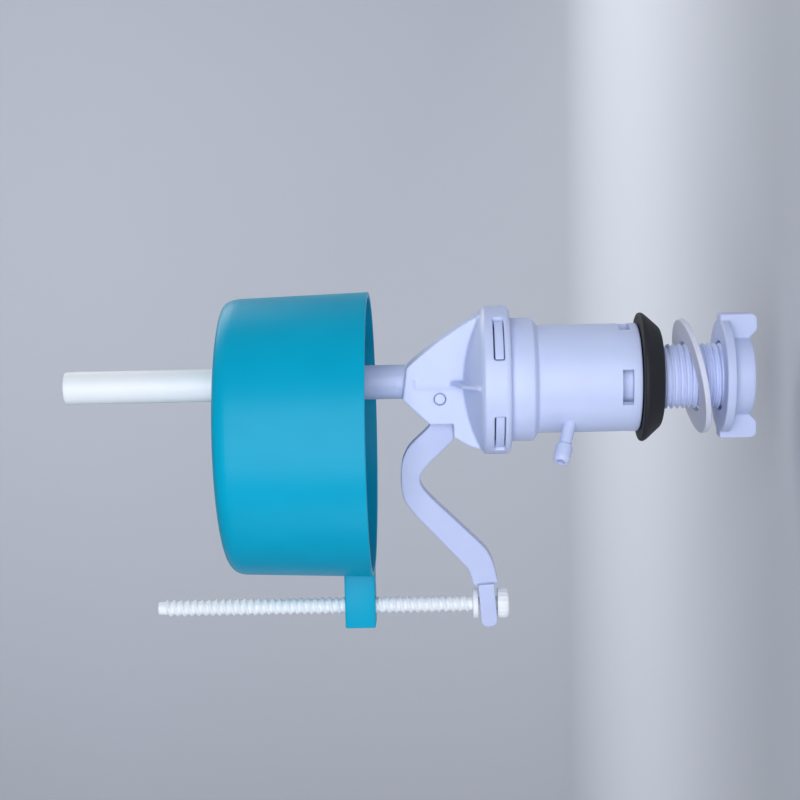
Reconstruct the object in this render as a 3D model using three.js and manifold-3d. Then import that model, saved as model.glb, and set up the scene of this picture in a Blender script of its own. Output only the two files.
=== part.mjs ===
// A bottom-inlet float valve for a cistern, in millimetres, +Z up.
// The origin is the centre of the hole in the cistern floor, on the face that the rubber gasket sits on.
// Water comes up the threaded shank, lifts the diaphragm off its seat, falls down inside the sleeve and
// leaves by the four windows. The float cup slides on the guide tube and moves a threaded rod, which swings
// the lever. The lever's rubber pad shuts the small vent in the cap, and that closes the diaphragm.
import * as THREE from "three";
import { mergeVertices } from "three/addons/utils/BufferGeometryUtils.js";
import Module from "manifold-3d";

const wasm = await Module();
wasm.setup();

// ---- Driving dimensions -------------------------------------------------------------------------------
const TOUCH_GAP = 0.3; // between two pieces that bear on each other
const SLIDE_GAP = 0.5; // round a piece that slides or turns
const ROUND = 32; // sides of a large round piece
const ROUND_SMALL = 20; // sides of a small round piece

// Threaded shank, a G1/2 pipe thread, with the riser above it
const SHANK_RADIUS = 10.48;
const SHANK_PITCH = 1.814;
const SHANK_THREAD_DEPTH = 1.16;
const SHANK_LENGTH = 27; // below the cistern floor
const SHANK_BORE = 7.5;
const SHANK_BORE_TOP = -6; // where the bore narrows
const FOOT_THICKNESS = 2.5; // the disc that closes the foot of the sleeve
const SPREADER_RADIUS = 12.4; // the cone behind the windows, which throws the water out
const SPREADER_TOP = 19;
const RISER_RADIUS = 6.5;
const RISER_BORE = 4;
const STRAINER_LENGTH = 14;
const STRAINER_WALL = 2.2;
const STRAINER_SLOT = 1;
const RESTRICTOR_THICKNESS = 2;
const RESTRICTOR_BORE = 1.5;

// Rubber gasket under the sleeve
const GASKET_HEIGHT = 6.9;
const GASKET_RADIUS = 20.5;
const GASKET_FOOT_RADIUS = 15.5;
const GASKET_RIM = 1.8;

// Sleeve and its collar
const SLEEVE_RADIUS = 17.15;
const SLEEVE_WALL = 2;
const SLEEVE_BOTTOM = GASKET_HEIGHT + TOUCH_GAP;
const COLLAR_RADIUS = 19.6;
const COLLAR_WALL = 2.4;
const COLLAR_BOTTOM = 39;
const COLLAR_TOP = 52.8;
const WINDOW_HEIGHT = 3.4;
const WINDOW_SPAN = 38; // degrees
const WINDOW_TURN = 86; // degrees, where the first window is centred

// Spigot for the refill hose
const NOZZLE_RADIUS = 1.95;
const NOZZLE_BORE = 1.3;
const NOZZLE_REACH = 30.6; // from the valve's axis
const NOZZLE_HEIGHT = 24.8; // where its centre line meets the valve's axis
const NOZZLE_TURN = 40; // degrees from the lever's side
const NOZZLE_RISE = 15; // degrees above level
const NOZZLE_TIP = 6.3; // length of the barb at the tip
const NOZZLE_BARB = 0.7; // proud of the spigot
const NOZZLE_MOUTH_RADIUS = 2.2; // outside, at the chamfered end

// Cap: ring, dome, cheeks and neck
const RING_RADIUS = 23.6;
const RING_CHAMFER = 1.3; // round its lower edge
const RING_EASE = 0.7; // round its upper edge
const RING_BOTTOM = 47.6;
const RING_TOP = 56.4;
const DOME_RADIUS = 22.3;
const DOME_FOOT = 56.9;
const DOME_TOP = 62.8;
const CAP_SEAT = 55; // underside of the plate that clamps the diaphragm
const CHAMBER_RADIUS = 14;
const CHAMBER_TOP = 58.3;
const SLOT_SPAN = 40; // degrees, a bayonet slot in the ring
const SLOT_OFFSET = 42; // degrees from the gusset to the middle of a slot
const SLOT_BOTTOM = 49.7;
const SLOT_TOP = 53.1;
const LUG_SPAN = 36;
const LUG_RADIUS = 22.6;
const CHEEK_THICKNESS = 14; // over both cheeks
const LEVER_SLOT = 7;
const SLOT_CEILING = 75.5;
const SPINE_RADIUS = 7.35;
const SPINE_TOP = 77.5;
const NECK_RADIUS = 5.45;
const NECK_FOOT = 80.2;
const NECK_FOOT_FRONT = 81.6; // on the lever's side, where the cheeks run higher
const NECK_TOP = 112;
const VENT_RADIUS = 0.7;
const VENT_LIP_RADIUS = 1.8;
const VENT_TOP = 63.6;
const GUSSET_THICKNESS = 1.3;
const GUSSET_TOP = 66;
const GUSSET_BULGE = 17; // reach of the corner in its sloping edge
const GUSSET_BULGE_HEIGHT = 63;
const CHEEK_INSET = 1; // from the edge of the dome to the foot of the cheeks
const CHEEK_TOE = 57.2; // height of the cheeks at the edge of the dome
const CHEEK_SHELF_REACH = 17; // the step under the lever
const CHEEK_SHELF_DROP = 4.2; // from the pivot down to that step
const CHEEK_FRONT = 13; // reach of the cheeks beside the pivot
const CHEEK_SHOULDER = 73.2; // height where they turn in to the neck
const CHEEK_TOE_BULGE = 20.3; // reach of the curve from the toe up to that step
const CHEEK_BACK = 14.5; // reach of the long curve half way up
const SLOT_BACK = 4.5; // reach of the lever's slot past the valve's axis

// Guide tube, plugged into the neck
const TUBE_STEP = 0.2; // the tube is this much slimmer than the neck, so the float passes over both
const TUBE_WALL = 1.3;
const TUBE_TOP = 189.5;
const TUBE_PLUG_RADIUS = 3.4;
const TUBE_PLUG_LENGTH = 15;

// Float cup, open at the bottom and off the valve's axis towards the lever
const FLOAT_OFFSET = 16.7;
const FLOAT_RIM_RADIUS = 45.4;
const FLOAT_TOP_RADIUS = 43.9;
const FLOAT_BOTTOM = 91.9;
const FLOAT_HEIGHT = 45.9;
const FLOAT_WALL = 1.5;
const FLOAT_EDGE = 4.4; // round edge of the closed end
const FLOAT_SLEEVE_WALL = 1.6;
const BRACKET_WIDTH = 10;
const BRACKET_HEIGHT = 9.8;
const BRACKET_LIP = 6.4; // of bracket beyond the rod's axis

// Adjusting rod
const ROD_OFFSET = 73; // from the valve's axis
const ROD_RADIUS = 2.75;
const ROD_PITCH = 2.3;
const ROD_THREAD_DEPTH = 0.6;
const ROD_TOP = 162.8;
const ROD_LEAD = 2.5; // plain length at the tip
const ROD_NECK_RADIUS = 2.1;
const ROD_COLLAR_RADIUS = 4.9;
const ROD_COLLAR_THICKNESS = 1.8;
const ROD_KNOB_HEIGHT = 3.8;
const FORK_HEIGHT = 55.6; // the middle of the fork on the rod
const FORK_GAP = 3.1; // from there to the collar above and the knob below

// Lever
const PIVOT_X = 5;
const PIVOT_Z = 69.8;
const LEVER_THICKNESS = 6;
const HUB_RADIUS = 3.5;
const PIN_RADIUS = 1.6;
const FORK_WIDTH = 9.2;
const FORK_SLOT = 4.8;
const FORK_HALF_DEPTH = 2.6;
const FORK_TILT = 4; // degrees below level at rest
const SWING = 8.33; // degrees between the open rest position and the shut one
const SEAL_RADIUS = 2;
const SEAL_THICKNESS = 1.5;
const ELBOW_X = 31.5;
const ELBOW_TOP = 82.8;
const ARM_END = 6.6; // from the rod's axis back to the step where the fork begins
const FORK_ROOT = 7.4; // from the rod's axis back to the fork's root, inside the arm
const FORK_REACH = 4.1; // from there out to the centre of the round tips

// Inside the cap and riser
const DIAPHRAGM_THICKNESS = 1.6;
const POPPET_RADIUS = 7.2;
const POPPET_SEAL_THICKNESS = 1.3;
const SEAT_HEIGHT = 51.2;
const SEAT_BORE = 2.3;
const SEAT_STEM_LENGTH = 6;
const BLEED_RADIUS = 0.7;
const BLEED_INSET = 1.9; // from the poppet's edge
const SILENCER_HEIGHT = 20;
const SILENCER_THICKNESS = 2;
const SILENCER_HOLES = 8;
const SILENCER_HOLE_RADIUS = 1.8;

// Nut and its washer
const WASHER_RADIUS = 18.4;
const WASHER_THICKNESS = 1.8;
const WASHER_HEIGHT = -10.1;
const WASHER_TILT = 10.3; // degrees, it hangs askew on the thread, lower towards the lever
const WASHER_LEAN = 4.8; // degrees, it is also lower on the +Y side
const NUT_FLANGE_RADIUS = 17.9;
const NUT_FLANGE_THICKNESS = 2.9;
const NUT_TOP = -18.6;
const NUT_BODY_RADIUS = 12.6;
const NUT_HEIGHT = 9.8;
const WING_REACH = 19.7;
const WING_WIDTH = 7;
const WING_BOTTOM = -30.2;
const WING_CORNER = 2.4;
const WING_CUT = 2.8; // chamfer between a wing's foot and the nut's body
const NUT_BODY_EASE = 1.4; // round the foot of the body

// ---- Sizes that follow from those ---------------------------------------------------------------------
const FOOT_TOP = SLEEVE_BOTTOM + FOOT_THICKNESS;
const WINDOW_BOTTOM = FOOT_TOP + TOUCH_GAP;
const SLEEVE_BORE = SLEEVE_RADIUS - SLEEVE_WALL;
const COLLAR_BORE = COLLAR_RADIUS - COLLAR_WALL;
const RISER_TOP = SEAT_HEIGHT - 1.5;
const TUBE_RADIUS = NECK_RADIUS - TUBE_STEP;
const FLOAT_TOP = FLOAT_BOTTOM + FLOAT_HEIGHT;
const FLOAT_BORE = NECK_RADIUS + SLIDE_GAP;
const FLOAT_SLEEVE_RADIUS = FLOAT_BORE + FLOAT_SLEEVE_WALL;
const DIAPHRAGM_BOTTOM = COLLAR_TOP + TOUCH_GAP;
const DIAPHRAGM_TOP = DIAPHRAGM_BOTTOM + DIAPHRAGM_THICKNESS;
const SEAL_BOTTOM = VENT_TOP + TOUCH_GAP; // when shut
const PIN_HOLE = PIN_RADIUS + TOUCH_GAP;

// ---- Finishes -----------------------------------------------------------------------------------------
const finish = (color, roughness) => new THREE.MeshStandardMaterial({ color, roughness, metalness: 0 });
const whitePlastic = finish(0xdfe6f5, 0.4);
const creamPlastic = finish(0xf0efe9, 0.45);
const tealPlastic = finish(0x14a6ae, 0.28);
const blackRubber = finish(0x1c1d20, 0.7);
const greyPlastic = finish(0xc9ccd2, 0.5);

// ---- Helpers ------------------------------------------------------------------------------------------
const radians = (degrees) => (degrees * Math.PI) / 180;

// A closed geometry as a solid: shared vertices are merged, and triangles that close up at a pole go.
function solid(geometry) {
  const bare = new THREE.BufferGeometry().setAttribute("position", geometry.getAttribute("position"));
  if (geometry.index) bare.setIndex(geometry.index);
  const merged = mergeVertices(bare, 1e-4);
  const index = merged.index.array;
  const kept = [];
  for (let i = 0; i < index.length; i += 3) {
    const [a, b, c] = [index[i], index[i + 1], index[i + 2]];
    if (a !== b && b !== c && c !== a) kept.push(a, b, c);
  }
  const vertProperties = merged.getAttribute("position").array;
  return new wasm.Manifold(new wasm.Mesh({ numProp: 3, vertProperties, triVerts: new Uint32Array(kept) }));
}

// A round solid from a profile of [radius, height] points, listed up the outside and down the inside.
function turned(profile, sides = ROUND) {
  const closed = profile[0][0] === 0 ? profile : [...profile, profile[0]];
  const points = closed.map(([radius, height]) => new THREE.Vector2(radius, height));
  return solid(new THREE.LatheGeometry(points, sides).rotateX(Math.PI / 2));
}

const disc = (radius, bottom, top, sides = ROUND) =>
  turned([[0, bottom], [radius, bottom], [radius, top], [0, top]], sides);

const moved = (made, x, y, z) => made.translate([x, y, z]);

function block([x0, x1], [y0, y1], [z0, z1]) {
  const box = new THREE.BoxGeometry(x1 - x0, y1 - y0, z1 - z0);
  return solid(box.translate((x0 + x1) / 2, (y0 + y1) / 2, (z0 + z1) / 2));
}

// A plate whose outline is drawn in X and Z, as thick as thickness along Y, with its middle at y = 0.
function plate(shape, thickness, curveSegments = 6) {
  const made = new THREE.ExtrudeGeometry(shape, { depth: thickness, bevelEnabled: false, curveSegments });
  return solid(made.rotateX(Math.PI / 2).translate(0, thickness / 2, 0));
}

const outline = (points) => new THREE.Shape(points.map(([x, z]) => new THREE.Vector2(x, z)));

// A sector of a ring, from radius inner to outer, centred on the angle middle and span wide, in degrees.
function sector(inner, outer, middle, span, bottom, top) {
  const [from, to] = [radians(middle - span / 2), radians(middle + span / 2)];
  const shape = new THREE.Shape();
  shape.absarc(0, 0, outer, from, to, false);
  shape.absarc(0, 0, inner, to, from, true);
  const made = new THREE.ExtrudeGeometry(shape, { depth: top - bottom, bevelEnabled: false, curveSegments: 5 });
  return solid(made.translate(0, 0, bottom));
}

// A cylinder lying along Y, for the pin and its holes.
const crossPin = (radius, length, x, z) =>
  moved(disc(radius, -length / 2, length / 2, ROUND_SMALL).rotate([90, 0, 0]), x, 0, z);

// A rod with a sharp helical thread from bottom to top: rows of points climb by one pitch a turn, crest and
// root in turn, each end is closed to a point on the axis, and the ends are then cut square.
function threadedRod(crest, depth, pitch, bottom, top, sides) {
  const turns = Math.ceil((top - bottom) / pitch) + 3;
  const rows = 2 * turns;
  const start = bottom - 1.5 * pitch;
  const place = [];
  const faces = [];
  for (let row = 0; row <= rows; row++)
    for (let side = 0; side < sides; side++) {
      const radius = row % 2 ? crest - depth : crest;
      const angle = (2 * Math.PI * side) / sides;
      const height = start + pitch * (row / 2 + side / sides);
      place.push(radius * Math.cos(angle), radius * Math.sin(angle), height);
    }
  // The point after the last of a row is the first of the row two above it, one whole turn up.
  const at = (row, side) => (side < sides ? row * sides + side : (row + 2) * sides);
  for (let row = 0; row < rows - 2; row++)
    for (let side = 0; side < sides; side++) {
      const [a, b, c, d] = [at(row, side), at(row, side + 1), at(row + 1, side + 1), at(row + 1, side)];
      faces.push(a, b, c, a, c, d);
    }
  const low = place.length / 3;
  place.push(0, 0, start - pitch, 0, 0, start + pitch * (rows / 2 + 1));
  const high = low + 1;
  const last = rows - 2;
  for (let side = 0; side < sides; side++) faces.push(low, at(0, side + 1), at(0, side));
  faces.push(low, at(1, 0), at(2, 0), low, at(0, 0), at(1, 0));
  for (let side = 0; side < sides; side++) faces.push(high, at(last, side), at(last, side + 1));
  faces.push(high, at(last + 2, 0), at(last + 1, 0), high, at(last + 1, 0), at(last, 0));
  const geometry = new THREE.BufferGeometry();
  geometry.setAttribute("position", new THREE.Float32BufferAttribute(place, 3)).setIndex(faces);
  return solid(geometry).intersect(disc(crest + 1, bottom, top, ROUND_SMALL));
}

const part = new THREE.Group();

// Adds a solid to the part as a named mesh.
function add(name, made, material) {
  const { vertProperties, triVerts } = made.getMesh();
  const geometry = new THREE.BufferGeometry();
  geometry.setAttribute("position", new THREE.BufferAttribute(new Float32Array(vertProperties), 3));
  geometry.setIndex(new THREE.BufferAttribute(new Uint32Array(triVerts), 1));
  geometry.computeVertexNormals();
  const mesh = new THREE.Mesh(geometry, material);
  mesh.name = name;
  part.add(mesh);
}

// ---- Inlet --------------------------------------------------------------------------------------------
function inletShank() {
  const neck = SHANK_RADIUS - SHANK_THREAD_DEPTH;
  const thread = threadedRod(SHANK_RADIUS, SHANK_THREAD_DEPTH, SHANK_PITCH, -SHANK_LENGTH, -1, ROUND_SMALL);
  const flange = SLEEVE_BORE - TOUCH_GAP;
  const riser = turned([
    [0, -1.5],
    [neck, -1.5],
    [neck, SLEEVE_BOTTOM],
    [flange, SLEEVE_BOTTOM],
    [flange, FOOT_TOP],
    [SPREADER_RADIUS, FOOT_TOP],
    [SPREADER_RADIUS, WINDOW_BOTTOM + WINDOW_HEIGHT],
    [RISER_RADIUS, SPREADER_TOP],
    [RISER_RADIUS, RISER_TOP],
    [0, RISER_TOP],
  ]);
  return thread
    .add(riser)
    .subtract(disc(SHANK_BORE, -SHANK_LENGTH - 1, SHANK_BORE_TOP, ROUND_SMALL))
    .subtract(disc(RISER_BORE, SHANK_BORE_TOP - 1, RISER_TOP + 1, ROUND_SMALL));
}

// A basket closed at the top, with upright slots, pushed into the mouth of the shank.
function inletStrainer() {
  const bottom = -SHANK_LENGTH + 0.4;
  const top = bottom + STRAINER_LENGTH;
  const rim = SHANK_BORE - TOUCH_GAP;
  const half = STRAINER_SLOT / 2;
  const basket = turned(
    [
      [rim, bottom],
      [rim, bottom + 1.2],
      [rim - 1, bottom + 1.2],
      [rim - 2, top],
      [0.01, top],
      [0.01, top - 1],
      [rim - 3, top - 1],
      [rim - STRAINER_WALL, bottom],
    ],
    ROUND_SMALL,
  );
  const slots = [0, 45, 90, 135].map((turn) =>
    block([-rim, rim], [-half, half], [bottom + 2.5, top - 2]).rotate([0, 0, turn]),
  );
  const centre = disc(0.5, top - 1, top, 8);
  return slots.reduce((made, slot) => made.subtract(slot), basket.add(centre));
}

function flowRestrictor() {
  const top = SHANK_BORE_TOP - TOUCH_GAP;
  const bottom = top - RESTRICTOR_THICKNESS;
  const plain = disc(SHANK_BORE - TOUCH_GAP, bottom, top, ROUND_SMALL);
  return plain.subtract(disc(RESTRICTOR_BORE, bottom - 1, top + 1, ROUND_SMALL));
}

function tankGasket() {
  const bore = SHANK_RADIUS + TOUCH_GAP;
  return turned([
    [bore, 0],
    [GASKET_FOOT_RADIUS, 0],
    [GASKET_RADIUS - 0.4, GASKET_HEIGHT - GASKET_RIM],
    [GASKET_RADIUS, GASKET_HEIGHT - GASKET_RIM / 2],
    [GASKET_RADIUS - 0.3, GASKET_HEIGHT],
    [bore, GASKET_HEIGHT],
  ]);
}

add("inlet_shank", inletShank(), whitePlastic);
add("inlet_strainer", inletStrainer(), greyPlastic);
add("flow_restrictor", flowRestrictor(), greyPlastic);
add("tank_gasket", tankGasket(), blackRubber);

// ---- Sleeve -------------------------------------------------------------------------------------------
function nozzleSolid(profile) {
  const lying = turned(profile, ROUND_SMALL).rotate([0, 90 - NOZZLE_RISE, 0]);
  return moved(lying.rotate([0, 0, NOZZLE_TURN]), 0, 0, NOZZLE_HEIGHT);
}

function valveBody() {
  const shoulder = COLLAR_BOTTOM + 1.4;
  const wall = turned([
    [SLEEVE_BORE, SLEEVE_BOTTOM],
    [SLEEVE_RADIUS - 0.8, SLEEVE_BOTTOM],
    [SLEEVE_RADIUS, SLEEVE_BOTTOM + 0.8],
    [SLEEVE_RADIUS, COLLAR_BOTTOM],
    [COLLAR_RADIUS, shoulder],
    [COLLAR_RADIUS, COLLAR_TOP],
    [COLLAR_BORE, COLLAR_TOP],
    [COLLAR_BORE, shoulder + 1],
    [SLEEVE_BORE, COLLAR_BOTTOM],
  ]);
  const reach = NOZZLE_REACH / Math.cos(radians(NOZZLE_RISE));
  const start = (SLEEVE_BORE + 0.5) / Math.cos(radians(NOZZLE_RISE));
  const barb = NOZZLE_RADIUS + NOZZLE_BARB;
  let made = wall.add(
    nozzleSolid([
      [0, start],
      [NOZZLE_RADIUS, start],
      [NOZZLE_RADIUS, reach - NOZZLE_TIP],
      [barb, reach - NOZZLE_TIP + NOZZLE_BARB],
      [barb, reach - 2 * NOZZLE_BARB],
      [NOZZLE_MOUTH_RADIUS, reach],
      [0, reach],
    ]),
  );
  const [from, to] = [start - 4, reach + 1];
  made = made.subtract(nozzleSolid([[0, from], [NOZZLE_BORE, from], [NOZZLE_BORE, to], [0, to]]));
  for (let k = 0; k < 4; k++) {
    const middle = WINDOW_TURN + 90 * k;
    const top = WINDOW_BOTTOM + WINDOW_HEIGHT;
    made = made.subtract(sector(SLEEVE_BORE - 1, SLEEVE_RADIUS + 1, middle, WINDOW_SPAN, WINDOW_BOTTOM, top));
  }
  const [lugBottom, lugTop] = [SLOT_BOTTOM + TOUCH_GAP, SLOT_TOP - 3 * TOUCH_GAP];
  for (const middle of slotAngles())
    made = made.add(sector(COLLAR_RADIUS - 1, LUG_RADIUS, middle, LUG_SPAN, lugBottom, lugTop));
  return made;
}

// The bayonet slots lie either side of each of the two gussets.
function slotAngles() {
  return [90, 270].flatMap((gusset) => [gusset - SLOT_OFFSET, gusset + SLOT_OFFSET]);
}

// A drilled ring that breaks up the falling water.
function silencerRing() {
  const [inner, outer] = [RISER_RADIUS + TOUCH_GAP, SLEEVE_BORE - TOUCH_GAP];
  const [bottom, top] = [SILENCER_HEIGHT, SILENCER_HEIGHT + SILENCER_THICKNESS];
  let made = turned([[inner, bottom], [outer, bottom], [outer, top], [inner, top]]);
  for (let k = 0; k < SILENCER_HOLES; k++) {
    const hole = moved(disc(SILENCER_HOLE_RADIUS, bottom - 1, top + 1, 12), (inner + outer) / 2, 0, 0);
    made = made.subtract(hole.rotate([0, 0, (360 / SILENCER_HOLES) * k]));
  }
  return made;
}

add("valve_body", valveBody(), whitePlastic);
add("silencer_ring", silencerRing(), greyPlastic);

// ---- Diaphragm valve ----------------------------------------------------------------------------------
// The replaceable nozzle in the top of the riser, with a groove for its O-ring.
const SEAT_STEM_RADIUS = RISER_BORE - TOUCH_GAP;
const GROOVE_BOTTOM = RISER_TOP - 4;
const GROOVE_HEIGHT = 1.2;
const GROOVE_RADIUS = SEAT_STEM_RADIUS - 0.75;

function seatInsert() {
  const flangeBottom = RISER_TOP + TOUCH_GAP;
  return turned(
    [
      [SEAT_BORE, RISER_TOP - SEAT_STEM_LENGTH],
      [SEAT_STEM_RADIUS, RISER_TOP - SEAT_STEM_LENGTH],
      [SEAT_STEM_RADIUS, GROOVE_BOTTOM],
      [GROOVE_RADIUS, GROOVE_BOTTOM],
      [GROOVE_RADIUS, GROOVE_BOTTOM + GROOVE_HEIGHT],
      [SEAT_STEM_RADIUS, GROOVE_BOTTOM + GROOVE_HEIGHT],
      [SEAT_STEM_RADIUS, flangeBottom],
      [RISER_RADIUS - 0.5, flangeBottom],
      [RISER_RADIUS - 0.5, flangeBottom + 0.6],
      [SEAT_BORE + 1, SEAT_HEIGHT],
      [SEAT_BORE, SEAT_HEIGHT],
    ],
    ROUND_SMALL,
  );
}

function seatRing() {
  const inner = GROOVE_RADIUS + 0.1;
  const thick = 0.35;
  const middle = GROOVE_BOTTOM + GROOVE_HEIGHT / 2;
  const profile = [...Array(8).keys()].map((k) => {
    const angle = (k * Math.PI) / 4;
    return [inner + thick + thick * Math.cos(angle), middle + thick * Math.sin(angle)];
  });
  return turned(profile, ROUND_SMALL);
}

function diaphragm() {
  const inner = POPPET_RADIUS + TOUCH_GAP;
  const outer = COLLAR_RADIUS - 0.5;
  const web = DIAPHRAGM_BOTTOM + 0.8;
  return turned([
    [inner, DIAPHRAGM_BOTTOM],
    [outer, DIAPHRAGM_BOTTOM],
    [outer, DIAPHRAGM_TOP],
    [CHAMBER_RADIUS, DIAPHRAGM_TOP],
    [CHAMBER_RADIUS - 1.5, web],
    [inner, web],
  ]);
}

const poppetSealBottom = SEAT_HEIGHT + TOUCH_GAP;
const poppetBottom = poppetSealBottom + POPPET_SEAL_THICKNESS + TOUCH_GAP;

const poppetSeal = () => disc(POPPET_RADIUS - 1.7, poppetSealBottom, poppetBottom - TOUCH_GAP, ROUND_SMALL);

function poppet() {
  const plain = turned(
    [
      [0, poppetBottom],
      [POPPET_RADIUS, poppetBottom],
      [POPPET_RADIUS, poppetBottom + 1.6],
      [POPPET_RADIUS - 3, poppetBottom + 2.6],
      [0, poppetBottom + 2.6],
    ],
    ROUND_SMALL,
  );
  const hole = disc(BLEED_RADIUS + 0.1, poppetBottom - 1, poppetBottom + 4, 10);
  return plain.subtract(moved(hole, POPPET_RADIUS - BLEED_INSET, 0, 0));
}

// A stiff pin in the bleed hole keeps the hole clear.
function bleedPin() {
  const pin = disc(BLEED_RADIUS - TOUCH_GAP, CHAMBER_TOP - 3, CHAMBER_TOP + 1, 8);
  return moved(pin, POPPET_RADIUS - BLEED_INSET, 0, 0);
}

add("seat_insert", seatInsert(), creamPlastic);
add("seat_ring", seatRing(), blackRubber);
add("diaphragm", diaphragm(), blackRubber);
add("poppet", poppet(), creamPlastic);
add("poppet_seal", poppetSeal(), blackRubber);
add("bleed_pin", bleedPin(), greyPlastic);

// ---- Cap ----------------------------------------------------------------------------------------------
// The dome bulges from its foot to its top as a parabola.
const domeHeight = (radius) => DOME_TOP - (DOME_TOP - DOME_FOOT) * (radius / DOME_RADIUS) ** 2;

function capShell() {
  const steps = 6;
  const dome = [...Array(steps).keys()].map((k) => {
    const radius = DOME_RADIUS * (1 - k / steps);
    return [radius, domeHeight(radius)];
  });
  const ringBore = COLLAR_RADIUS + TOUCH_GAP;
  const ring = [
    [ringBore, RING_BOTTOM],
    [RING_RADIUS - RING_CHAMFER, RING_BOTTOM],
    [RING_RADIUS, RING_BOTTOM + RING_CHAMFER],
    [RING_RADIUS, RING_TOP - RING_EASE],
    [RING_RADIUS - RING_EASE, RING_TOP],
  ];
  return turned([[0, CAP_SEAT], [ringBore, CAP_SEAT], ...ring, ...dome, [0, DOME_TOP]]);
}

// Both cheeks as one plate: the side away from the lever is a long curve, and the lever's side is stepped.
function cheekOutline() {
  const shape = new THREE.Shape();
  const base = CAP_SEAT + 1;
  const shelf = PIVOT_Z - CHEEK_SHELF_DROP;
  const foot = DOME_RADIUS - CHEEK_INSET;
  const top = NECK_RADIUS - 0.4;
  shape.moveTo(-foot, base);
  shape.lineTo(foot, base);
  shape.lineTo(foot, CHEEK_TOE);
  shape.quadraticCurveTo(CHEEK_TOE_BULGE, (CHEEK_TOE + shelf) / 2, CHEEK_SHELF_REACH, shelf);
  shape.lineTo(CHEEK_FRONT, shelf);
  shape.lineTo(CHEEK_FRONT, CHEEK_SHOULDER);
  shape.lineTo(top, NECK_FOOT_FRONT);
  shape.lineTo(-top, NECK_FOOT);
  shape.quadraticCurveTo(-CHEEK_BACK, PIVOT_Z, -foot, CHEEK_TOE);
  return shape;
}

function gusset() {
  const half = CHEEK_THICKNESS / 2;
  const shape = outline([
    [half - 1, DOME_FOOT],
    [DOME_RADIUS - 0.3, DOME_FOOT - 0.5],
    [DOME_RADIUS - 0.3, DOME_FOOT + 0.9],
    [GUSSET_BULGE, GUSSET_BULGE_HEIGHT],
    [half + 1.5, GUSSET_TOP],
    [half - 1, GUSSET_TOP + 1],
  ]);
  return plate(shape, GUSSET_THICKNESS);
}

function cap() {
  const half = LEVER_SLOT / 2;
  const spine = turned(
    [
      [0, CAP_SEAT + 1],
      [SPINE_RADIUS, CAP_SEAT + 1],
      [SPINE_RADIUS, SPINE_TOP],
      [NECK_RADIUS, NECK_FOOT],
      [NECK_RADIUS, NECK_TOP],
      [0, NECK_TOP],
    ],
    24,
  );
  let made = plate(cheekOutline(), CHEEK_THICKNESS).add(spine);
  made = made.subtract(block([-SLOT_BACK, DOME_RADIUS + 1], [-half, half], [CAP_SEAT, SLOT_CEILING]));
  made = made.subtract(crossPin(PIN_HOLE, CHEEK_THICKNESS + 2, PIVOT_X, PIVOT_Z));
  made = made.add(capShell());
  for (const turn of [90, 270]) made = made.add(gusset().rotate([0, 0, turn]));
  made = made.add(disc(VENT_LIP_RADIUS, DOME_TOP - 1, VENT_TOP, ROUND_SMALL));
  made = made.subtract(disc(CHAMBER_RADIUS, CAP_SEAT - 1, CHAMBER_TOP));
  made = made.subtract(disc(VENT_RADIUS, CHAMBER_TOP - 1, VENT_TOP + 1, 12));
  const pinSocket = disc(BLEED_RADIUS, CHAMBER_TOP - 1, CHAMBER_TOP + 1 + TOUCH_GAP, 8);
  made = made.subtract(moved(pinSocket, POPPET_RADIUS - BLEED_INSET, 0, 0));
  for (const middle of slotAngles())
    made = made.subtract(sector(COLLAR_RADIUS, RING_RADIUS + 1, middle, SLOT_SPAN, SLOT_BOTTOM, SLOT_TOP));
  const socket = disc(TUBE_PLUG_RADIUS + TOUCH_GAP, NECK_TOP - TUBE_PLUG_LENGTH - 1, NECK_TOP + 1, 24);
  return made.subtract(socket);
}

add("cap", cap(), whitePlastic);
add("lever_pin", crossPin(PIN_RADIUS, CHEEK_THICKNESS - 0.8, PIVOT_X, PIVOT_Z), greyPlastic);

// ---- Guide tube ---------------------------------------------------------------------------------------
function guideTube() {
  const bore = TUBE_PLUG_RADIUS - TUBE_WALL;
  const bottom = NECK_TOP + TOUCH_GAP;
  return turned(
    [
      [bore, NECK_TOP - TUBE_PLUG_LENGTH],
      [TUBE_PLUG_RADIUS, NECK_TOP - TUBE_PLUG_LENGTH],
      [TUBE_PLUG_RADIUS, bottom],
      [TUBE_RADIUS, bottom],
      [TUBE_RADIUS, TUBE_TOP - 0.5],
      [TUBE_RADIUS - 0.5, TUBE_TOP],
      [TUBE_RADIUS - TUBE_WALL, TUBE_TOP],
      [TUBE_RADIUS - TUBE_WALL, bottom + 3],
      [bore, bottom + 2],
    ],
    24,
  );
}

add("guide_tube", guideTube(), creamPlastic);

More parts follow.
